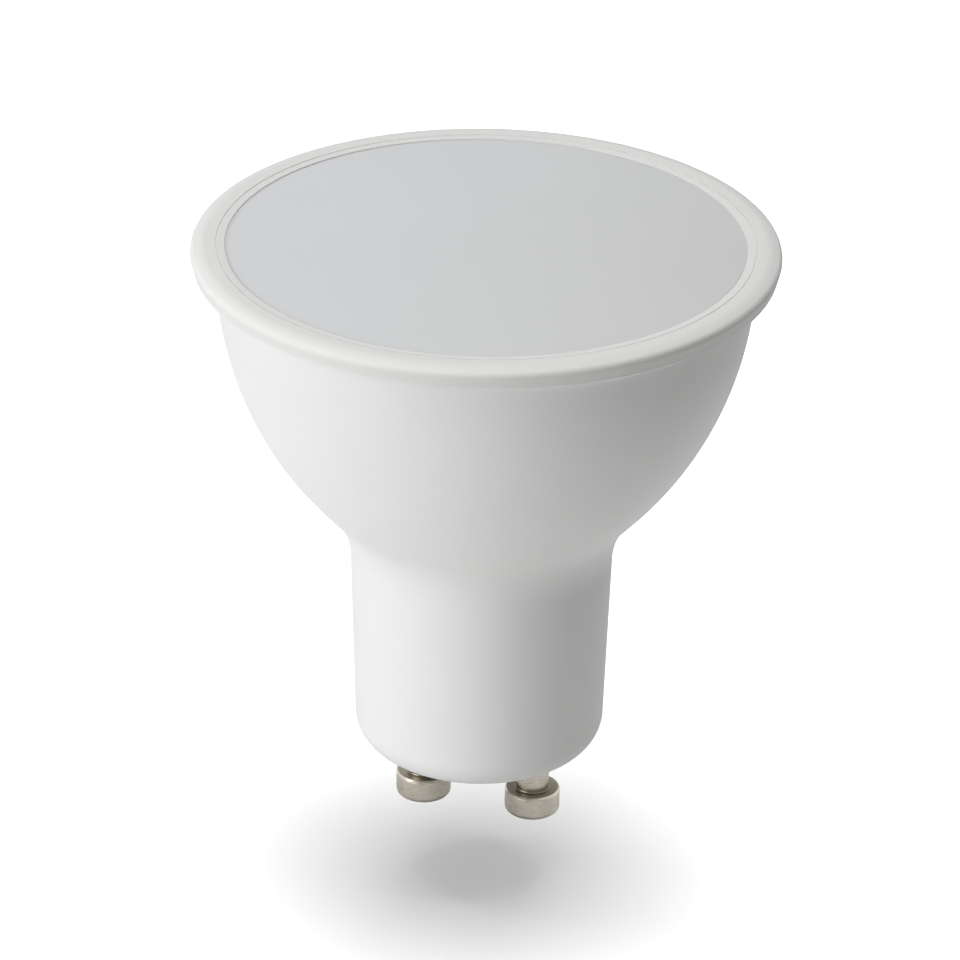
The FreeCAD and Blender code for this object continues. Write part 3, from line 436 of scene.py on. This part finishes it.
def makeHousing(h, material):
    top, lipLow = h["top"], h["top"] - h["rimLipThickness"]
    outer, inner = h["outside"], h["inside"]
    floor, neck, bowl = wallCorners(h, outer, 0.0)
    inFloor, inNeck, inBowl = wallCorners(h, inner, h["wall"])
    bossTop = inFloor[1] + h["bossHeight"]
    recessTop = h["baseHeight"] + h["recessDepth"]

    # outside: base, neck and bowl, built past the rim and cut off just under the lip's cove
    outside = roundedProfile([
        (0, h["baseHeight"], 0), (*floor, h["baseRound"]), (*neck, outer["neckRound"]),
        (*bowl, outer["bowl"]), (h["lip"], top + 1, 0)], 1.25)
    keep = (outside[1][:, 0] > -1) & (outside[0][:, 1] < lipLow - h["lipRoot"] - 0.1) & (outside[0][:, 0] > 0)
    outside = outside[0][keep], outside[1][keep]

    # inside, downwards from under the groove for the cover's bead
    groove, half, bevel = h["grooveMiddle"], h["grooveHalf"], h["grooveBevel"]
    inside = roundedProfile([
        (inBowl[0], top + 1, 0), (*inBowl, inner["bowl"] - h["wall"]), (*inNeck, inner["neckRound"]),
        (*inFloor, h["baseRound"] - h["wall"]), (0, inFloor[1], 0)], 4.0)
    keep = (inside[0][:, 1] < groove - half) & (inside[0][:, 0] > 0)
    inside = inside[0][keep], inside[1][keep]

    soft = h["softEdge"]
    wallX = float(np.interp(groove, inside[0][::-1, 1], inside[0][::-1, 0]))
    lip = roundedProfile([
        (*outside[0][-1], 0), (h["lip"], lipLow, h["lipRoot"]), (h["rimLip"], lipLow, h["lipFoot"]),
        (h["rimLip"], top, h["lipRound"]), (inBowl[0], top, soft), (wallX + 0.02, groove + bevel, 0.03),
        (wallX + h["grooveDepth"], groove, 0.05), (wallX, groove - bevel, 0.03), (*inside[0][0], 0)], 15.0)
    points = np.concatenate([outside[0], lip[0][1:-1], inside[0]])
    outward = np.concatenate([outside[1], lip[1][1:-1], inside[1]])
    parts = [spin(points, outward, 0.0, h["segments"])]

    # base and floor, each pierced for the two bosses, and the bosses with their recesses underneath
    boss = roundedProfile([
        (h["bossRing"], inFloor[1], 0), (h["boss"], inFloor[1], 0.25), (h["boss"], bossTop, 0.2),
        (h["pinHole"], bossTop, 0.05), (h["pinHole"], recessTop, 0.05), (h["recess"], recessTop, 0.08),
        (h["recess"], h["baseHeight"], 0.1), (h["recessRing"], h["baseHeight"], 0)], 12.0)
    for height, reach, ring, facing in ((inFloor[1], points[-1, 0], "bossRing", 1),
                                        (h["baseHeight"], points[0, 0], "recessRing", -1)):
        holes = [(side * h["pinX"], h[ring]) for side in (-1, 1)]
        parts.append(plate(height, reach, holes, facing, h["segments"], h["bossSegments"]))
    parts += [spin(*boss, side * h["pinX"], h["bossSegments"]) for side in (-1, 1)]

    # ribs that hold the driver board, and gussets that carry the screws
    ribX = math.sqrt((h["neckBase"] - h["wall"] / 2) ** 2 - h["boardBack"] ** 2)
    for near in (h["boardFront"] - h["railGap"] - h["railThickness"], h["boardBack"] + h["railGap"]):
        for side in (-1, 1):
            tip, root, far = side * h["railTip"], side * ribX, near + h["railThickness"]
            outline = [(tip, near), (root, near), (root, far), (tip, far)]
            parts.append(prism(outline, h["railBottom"], h["railTop"], 2))
    middle = wallCorners(h, inner, h["wall"] / 2)
    mid = roundedProfile([(*middle[1], 0), (*middle[2], inner["bowl"] - h["wall"] / 2),
                          (h["lip"] - h["wall"] / 2, top + 1, 0)], 2.0)[0]
    mid = mid[(mid[:, 0] > h["gussetInner"]) & (mid[:, 1] < h["gussetTop"])]
    for side in (-1, 1):
        start, end = [(h["gussetInner"], mid[0, 1])], [(mid[-1, 0], h["gussetTop"]), (h["gussetInner"], h["gussetTop"])]
        outline = np.concatenate([start, mid, end])
        parts.append(prism(outline * (side, 1), -h["gussetWidth"] / 2, h["gussetWidth"] / 2, 0))
    makePiece("mouldedHousing", parts, material, "housing_plastic", "housing")


housingPlastic = plasticMaterial("satinWhiteMoulding", housingLook)[0]
makeHousing(housingSizes, housingPlastic)
print("stage: housing")


coverSizes = {
    "top": 54.2, "flangeBottom": 52.6, "flangeFoot": 24.78, "footRound": 0.02,
    "crown": 24.05, "crownRound": 2.4, "edge": 25.13, "edgeDrop": 0.34, "edgeRound": 0.5,
    "band": 22.84, "bandDrop": 0.015, "face": 22.07, "bandLow": 0.05, "faceDrop": 0.13,
    "creaseTop": 0.055, "creaseFoot": 0.03, "creaseDepth": 0.1, "creaseRound": 0.01,
    "thickness": 1.5, "skirt": 21.456, "skirtThickness": 1.0, "skirtBottom": 49.2, "skirtFillet": 0.5,
    "beadMiddle": 50.25, "beadHalf": 0.45, "beadHeight": 0.45, "soft": 0.05, "segments": 360,
}
coverLook = {
    "light": (0.81, 0.805, 0.79), "shade": (0.795, 0.79, 0.776), "speck": (0.45, 0.43, 0.4),
    "roughness": (0.55, 0.62), "grain": 0.04, "gloss": 0.2,
    "skin": {"Grain Scale": 7000.0, "Patch Scale": 70.0,
             "Speck Scale": 260.0, "Speck Size": 0.045, "Speck Share": 0.03},
    # the disc's two colours below are painted light and shade: lighter at -X, darker at +X
    "discLitLeft": (0.655, 0.664, 0.684), "discShadedRight": (0.542, 0.547, 0.54), "discRadius": 0.02207,  # metres
    "edgeFade": (0.00002, 0.00006), "discPatches": 35.0, "discUneven": 0.08,
    # painted shade: the disc's edge is darkened where the crease shades it
    "paintedCornerWidth": 0.00034, "paintedCornerShade": (0.5, 0.5, 0.49), "paintedCornerShare": 0.5,
    "discGloss": 0.9, "discRoughness": 0.14,
}


def coverMaterial(look):
    # Milky plastic: warm over the rim's white wall, cool and greyer where the disc has the dark inside behind it, with
    # painted light and shade across the disc.
    material, tree, shader, colour = plasticMaterial("milkyCover", look)
    split = tree.nodes.new("ShaderNodeSeparateXYZ")
    tree.links.new(objectPlace(tree), split.inputs[0])
    radius = radiusNode(tree, split.outputs[0], split.outputs[1])
    edge, fade = look["discRadius"], look["edgeFade"]
    inDisc = mapRange(tree, radius, edge + fade[0], edge - fade[1], smooth=True)
    # painted light and shade: the disc is painted lighter and cooler at -X and darker and greener towards +X, as if lit
    # from the left, with slow uneven patches
    across = mapRange(tree, split.outputs[0], -edge, edge)
    uneven = look["discUneven"]
    slow = mapRange(tree, noiseNode(tree, objectPlace(tree), look["discPatches"]), *patchRange, -uneven, uneven)
    disc = mixColour(tree, mathNode(tree, "ADD", across, slow), look["discLitLeft"], look["discShadedRight"])
    # painted shade: a narrow ring just inside the disc's edge is darkened, where the crease shades it
    paintedCornerMask = mapRange(tree, radius, edge - look["paintedCornerWidth"], edge - 0.0001, 0.0, look["paintedCornerShare"])
    disc = mixColour(tree, paintedCornerMask, disc, look["paintedCornerShade"])
    tree.links.new(mixColour(tree, inDisc, colour, disc), shader.inputs["Base Color"])
    tree.links.new(mapRange(tree, inDisc, 0.0, 1.0, 0.0, look["discGloss"]), shader.inputs["Coat Weight"])
    shader.inputs["Coat Roughness"].default_value = look["discRoughness"]
    return material


def makeCover(c, material):
    face = c["top"] - c["faceDrop"]
    underside = face - c["thickness"]
    inner, bottom = c["skirt"] - c["skirtThickness"], c["skirtBottom"]
    # fine creases on both sides of the sloped band, where the ring and the disc meet it
    fine, wide, foot, deep = c["creaseRound"], c["creaseTop"], c["creaseFoot"], c["creaseDepth"]
    skirt, middle, half, soft = c["skirt"], c["beadMiddle"], c["beadHalf"], c["soft"]
    top, band, disc = c["top"], c["band"], c["face"]
    profile = roundedProfile([
        (0, underside, 0), (inner, underside, c["skirtFillet"]), (inner, bottom, soft), (skirt, bottom, soft),
        (skirt, middle - half, soft), (skirt + c["beadHeight"], middle, soft), (skirt, middle + half, soft),
        (skirt, c["flangeBottom"], soft), (c["flangeFoot"], c["flangeBottom"], c["footRound"]),
        (c["edge"], top - c["edgeDrop"], c["edgeRound"]), (c["crown"], top, c["crownRound"]),
        (band + wide, top, fine), (band + foot, top - deep, fine), (band - foot, top - deep, fine),
        (band - wide, top - c["bandDrop"], fine), (disc + wide, top - c["bandLow"], fine),
        (disc + foot, face - deep / 2, fine), (disc - foot, face - deep / 2, fine),
        (disc - wide, face, fine), (0, face, 0)], 6.0)
    surface = spin(*profile, 0.0, c["segments"])
    makePiece("milkyCoverPiece", [surface], material, "diffuser_plastic", "diffuser_cover")


makeCover(coverSizes, coverMaterial(coverLook))
print("stage: front cover")


pinSizes = {
    "x": 5.0, "head": 2.42, "headHeight": 2.3, "headRound": 0.5, "chamfer": 0.14, "line": 0.05,
    "shank": 1.45, "seat": 7.0, "barrel": 1.2, "bossTop": 11.4,
    "rivet": 1.9, "rivetThickness": 0.5, "bore": 0.6, "boreDepth": 3.0, "segments": 144,
}
pinLook = {
    "light": (0.725, 0.675, 0.593), "shade": (0.54, 0.495, 0.42), "roughness": (0.22, 0.33),
    "grooves": 0.12, "lineDepth": 0.3, "turned": {"Groove Scale": 7000.0, "Tarnish Scale": 700.0},
    # painted reflection: the head's upper face is darkened as if it mirrored the shaded housing above
    "paintedDarkReflection": (0.2, 0.175, 0.135), "paintedDarkReflectionShare": 0.9,
    "paintedDarkReflectionRise": (-0.04, 0, 0.1, 0.6),  # where it starts, is full, starts to thin and ends, from the head's upper face
}


def makePin(p, side, material):
    high = p["bossTop"] + p["rivetThickness"]
    edge, line = p["headHeight"] - p["chamfer"], p["line"]  # a turned line runs just under the chamfer
    profile = roundedProfile([
        (0, 0, 0), (p["head"], 0, p["headRound"]),
        (p["head"], edge - 2.6 * line, 0.012), (p["head"] - line, edge - 1.9 * line, 0.01),
        (p["head"] - line, edge - 0.7 * line, 0.01), (p["head"], edge, 0.012),
        (p["head"] - p["chamfer"], p["headHeight"], 0.02), (p["shank"], p["headHeight"], 0.1),
        (p["shank"], p["seat"], 0.04), (p["barrel"], p["seat"], 0.03), (p["barrel"], p["bossTop"], 0.03),
        (p["rivet"], p["bossTop"], 0.05), (p["rivet"], high, 0.15), (p["bore"], high, 0.08),
        (p["bore"], high - p["boreDepth"], 0.05), (0, high - p["boreDepth"], 0)], 9.0)
    name = "left" if side < 0 else "right"
    surface = spin(*profile, side * p["x"], p["segments"])
    makePiece("pin" + name.capitalize(), [surface], material, "nickel", "pin_" + name)


def nickelMaterial(name, look, p, side):
    # Warm nickel, turned round its own axis, with a painted dark reflection on the head's upper face.
    turned = {"Axis X": side * p["x"] * mm, **look["turned"]}
    material, tree, shader, colour = metalMaterial(name, {**look, "turned": turned})
    split = tree.nodes.new("ShaderNodeSeparateXYZ")
    tree.links.new(objectPlace(tree), split.inputs[0])
    # painted reflection: a band from the head's upper face up the shank foot is darkened
    low, full, thin, top = ((p["headHeight"] + rise) * mm for rise in look["paintedDarkReflectionRise"])
    above = mapRange(tree, split.outputs[2], low, full)
    below = mapRange(tree, split.outputs[2], top, thin)
    paintedReflectionMask = mathNode(tree, "MULTIPLY", mathNode(tree, "MULTIPLY", above, below), look["paintedDarkReflectionShare"])
    tree.links.new(mixColour(tree, paintedReflectionMask, colour, look["paintedDarkReflection"]), shader.inputs["Base Color"])
    return material


for side in (-1, 1):
    label = "warmNickelLeft" if side < 0 else "warmNickelRight"
    makePin(pinSizes, side, nickelMaterial(label, pinLook, pinSizes, side))
print("stage: contact pins")


# inner pieces: these keep the CAD's own meshes and get materials
innerPlastics = {  # light, shade, roughness, grain
    "thermal_pad": ((0.42, 0.5, 0.56), (0.36, 0.44, 0.5), (0.75, 0.9), 0.3),
    "driver_board": ((0.16, 0.3, 0.1), (0.11, 0.23, 0.07), (0.35, 0.5), 0.1),
    "bridge_rectifier": ((0.05, 0.05, 0.052), (0.035, 0.035, 0.037), (0.5, 0.65), 0.4),
    "filter_capacitor": ((0.62, 0.42, 0.12), (0.54, 0.35, 0.09), (0.3, 0.42), 0.1),
    "choke_core": ((0.09, 0.09, 0.095), (0.06, 0.06, 0.063), (0.6, 0.8), 0.5),
    "driver_chip": ((0.045, 0.045, 0.047), (0.03, 0.03, 0.032), (0.45, 0.6), 0.4),
    "freewheel_diode": ((0.05, 0.05, 0.052), (0.035, 0.035, 0.037), (0.5, 0.65), 0.4),
    "sense_resistors": ((0.06, 0.06, 0.065), (0.04, 0.04, 0.043), (0.3, 0.4), 0.1),
    "fuse_resistor": ((0.4, 0.55, 0.42), (0.33, 0.48, 0.36), (0.25, 0.35), 0.1),
    "fuse_sleeve": ((0.06, 0.06, 0.062), (0.04, 0.04, 0.042), (0.35, 0.5), 0.15),
    "neutral_wire": ((0.06, 0.18, 0.5), (0.045, 0.14, 0.42), (0.4, 0.5), 0.15),
    "led_lead_positive": ((0.6, 0.05, 0.035), (0.5, 0.04, 0.03), (0.4, 0.5), 0.15),
    "led_lead_negative": ((0.04, 0.04, 0.042), (0.028, 0.028, 0.03), (0.4, 0.5), 0.15),
    "led_board": ((0.82, 0.82, 0.79), (0.77, 0.77, 0.74), (0.3, 0.4), 0.05),
    "led_packages": ((0.85, 0.74, 0.3), (0.8, 0.68, 0.24), (0.3, 0.45), 0.1),
    "input_capacitor": ((0.05, 0.06, 0.12), (0.035, 0.045, 0.095), (0.25, 0.35), 0.05),
    "output_capacitor": ((0.05, 0.06, 0.12), (0.035, 0.045, 0.095), (0.25, 0.35), 0.05),
}
innerMetals = {  # light, shade, roughness, depth of the grooves, their scale
    "heat_sink_liner": ((0.76, 0.77, 0.78), (0.62, 0.63, 0.65), (0.3, 0.5), 0.2, 9000.0),
    "board_screws": ((0.66, 0.66, 0.67), (0.5, 0.5, 0.52), (0.25, 0.4), 0.15, 9000.0),
    "choke_winding": ((0.72, 0.32, 0.14), (0.52, 0.2, 0.08), (0.25, 0.4), 0.5, 2500.0),
}
innerFinishes = {}
for node, (light, shade, roughness, grain) in innerPlastics.items():
    look = {"light": light, "shade": shade, "roughness": roughness, "grain": grain}
    innerFinishes[node] = plasticMaterial(node + "Finish", look)[0]
for node, (light, shade, roughness, grooves, scale) in innerMetals.items():
    look = {"light": light, "shade": shade, "roughness": roughness, "grooves": grooves, "lineDepth": 0.3,
            "turned": {"Groove Scale": scale}}
    innerFinishes[node] = metalMaterial(node + "Finish", look)[0]
for node, finish in innerFinishes.items():
    cadNodes[node].data.materials.clear()
    cadNodes[node].data.materials.append(finish)
print("stage: inner pieces")


stageSettings = {
    "floorHeight": -7.2, "floorHalf": 1500.0,  # the photograph shows the lamp a little above its shadow
    "floorColour": 0.74, "mirrorColour": 0.42,
    "bounceNear": 0.35, "bounceFar": 0.05, "nearRadius": 110.0, "farRadius": 250.0,
}
keyTint = (0.985, 0.99, 1.0)
lampSettings = {  # place and size in millimetres, power in watts, and what it lights
    "keyLow": {"place": (-375, -416, 70), "size": (420, 300), "power": 1.99, "lights": "bulb", "tint": keyTint},
    "keyHigh": {"place": (-330, -366, 330), "size": (420, 420), "power": 1.0, "lights": "bulb", "tint": keyTint},
    "overhead": {"place": (0, 0, 420), "size": (200, 200), "power": 0.28, "lights": "bulb"},
    "overheadWide": {"place": (0, 0, 620), "size": (700, 700), "power": 1.75, "lights": "bulb"},
    "backPanel": {"place": (-142, 498, 432), "size": (260, 260), "power": 0.08, "lights": "bulb", "shape": "ELLIPSE"},
    "floorLight": {"place": (0, 0, 620), "size": (420, 420), "power": 6.3, "lights": "floor"},
    "floorWide": {"place": (0, 0, 900), "size": (3000, 3000), "power": 31.0, "lights": "floor"},
}
lampAim = (0, 0, 30)
worldSettings = {"fill": 0.08, "backdrop": 1.0}


def makeFloor(s):
    side, level = s["floorHalf"] * mm, s["floorHeight"] * mm
    mesh = bpy.data.meshes.new("floor")
    corners = [(x * side, y * side, level) for x, y in ((-1, -1), (1, -1), (1, 1), (-1, 1))]
    mesh.from_pydata(corners, [], [(0, 1, 2, 3)])
    material = bpy.data.materials.new("paleFloor")
    material.use_nodes = True
    tree = material.node_tree
    tree.nodes.clear()
    out = tree.nodes.new("ShaderNodeOutputMaterial")
    matt = tree.nodes.new("ShaderNodeBsdfDiffuse")
    path = tree.nodes.new("ShaderNodeLightPath")
    mirrored = mathNode(tree, "MAXIMUM", path.outputs["Is Glossy Ray"], path.outputs["Is Transmission Ray"])
    # the camera sees a white floor with a shadow; reflections and the light thrown back up are darker
    split = tree.nodes.new("ShaderNodeSeparateXYZ")
    tree.links.new(objectPlace(tree), split.inputs[0])
    radius = radiusNode(tree, split.outputs[0], split.outputs[1])
    near, far = s["nearRadius"] * mm, s["farRadius"] * mm
    bounce = mapRange(tree, radius, near, far, s["bounceNear"], s["bounceFar"], True)
    level = mapRange(tree, mirrored, 0.0, 1.0, bounce, s["mirrorColour"])
    level = mapRange(tree, path.outputs["Is Camera Ray"], 0.0, 1.0, level, s["floorColour"])
    tree.links.new(level, matt.inputs["Color"])
    clear = tree.nodes.new("ShaderNodeBsdfTransparent")  # seen from below, the floor lets the camera through
    below = tree.nodes.new("ShaderNodeNewGeometry").outputs["Backfacing"]
    pick = tree.nodes.new("ShaderNodeMixShader")
    tree.links.new(below, pick.inputs[0])
    tree.links.new(matt.outputs[0], pick.inputs[1])
    tree.links.new(clear.outputs[0], pick.inputs[2])
    tree.links.new(pick.outputs[0], out.inputs["Surface"])
    mesh.materials.append(material)
    floor = bpy.data.objects.new("floor", mesh)
    bpy.context.scene.collection.objects.link(floor)
    return floor


def makeWorld(s):
    world = bpy.data.worlds.new("studio")
    bpy.context.scene.world = world
    world.use_nodes = True
    tree = world.node_tree
    background = tree.nodes["Background"]
    path = tree.nodes.new("ShaderNodeLightPath")
    seen = mathNode(tree, "MAXIMUM", path.outputs["Is Camera Ray"], path.outputs["Is Glossy Ray"])
    seen = mathNode(tree, "MAXIMUM", seen, path.outputs["Is Transmission Ray"])
    tree.links.new(mapRange(tree, seen, 0.0, 1.0, s["fill"], s["backdrop"]), background.inputs["Strength"])
    background.inputs["Color"].default_value = (1, 1, 1, 1)


def makeLamps(lamps, floor):
    groups = {"floor": bpy.data.collections.new("floorOnly"), "bulb": bpy.data.collections.new("bulbOnly")}
    groups["floor"].objects.link(floor)
    for piece in bpy.data.objects:
        if piece.type == "MESH" and piece != floor:
            groups["bulb"].objects.link(piece)
    for name, s in lamps.items():
        data = bpy.data.lights.new(name, "AREA")
        data.shape = s.get("shape", "RECTANGLE")
        data.size, data.size_y = s["size"][0] * mm, s["size"][1] * mm
        data.energy = s["power"]
        data.color = s.get("tint", (1, 1, 1))
        lamp = bpy.data.objects.new(name, data)
        place = Vector(s["place"]) * mm
        lamp.rotation_mode = "QUATERNION"
        lamp.rotation_quaternion = (Vector(lampAim) * mm - place).to_track_quat("-Z", "Y")
        lamp.location = place
        lamp.visible_camera = False
        lamp.light_linking.receiver_collection = groups[s["lights"]]
        bpy.context.scene.collection.objects.link(lamp)


floor = makeFloor(stageSettings)
makeWorld(worldSettings)
makeLamps(lampSettings, floor)
bpy.context.scene.view_settings.view_transform = "Standard"
print("stage: floor and lamps")
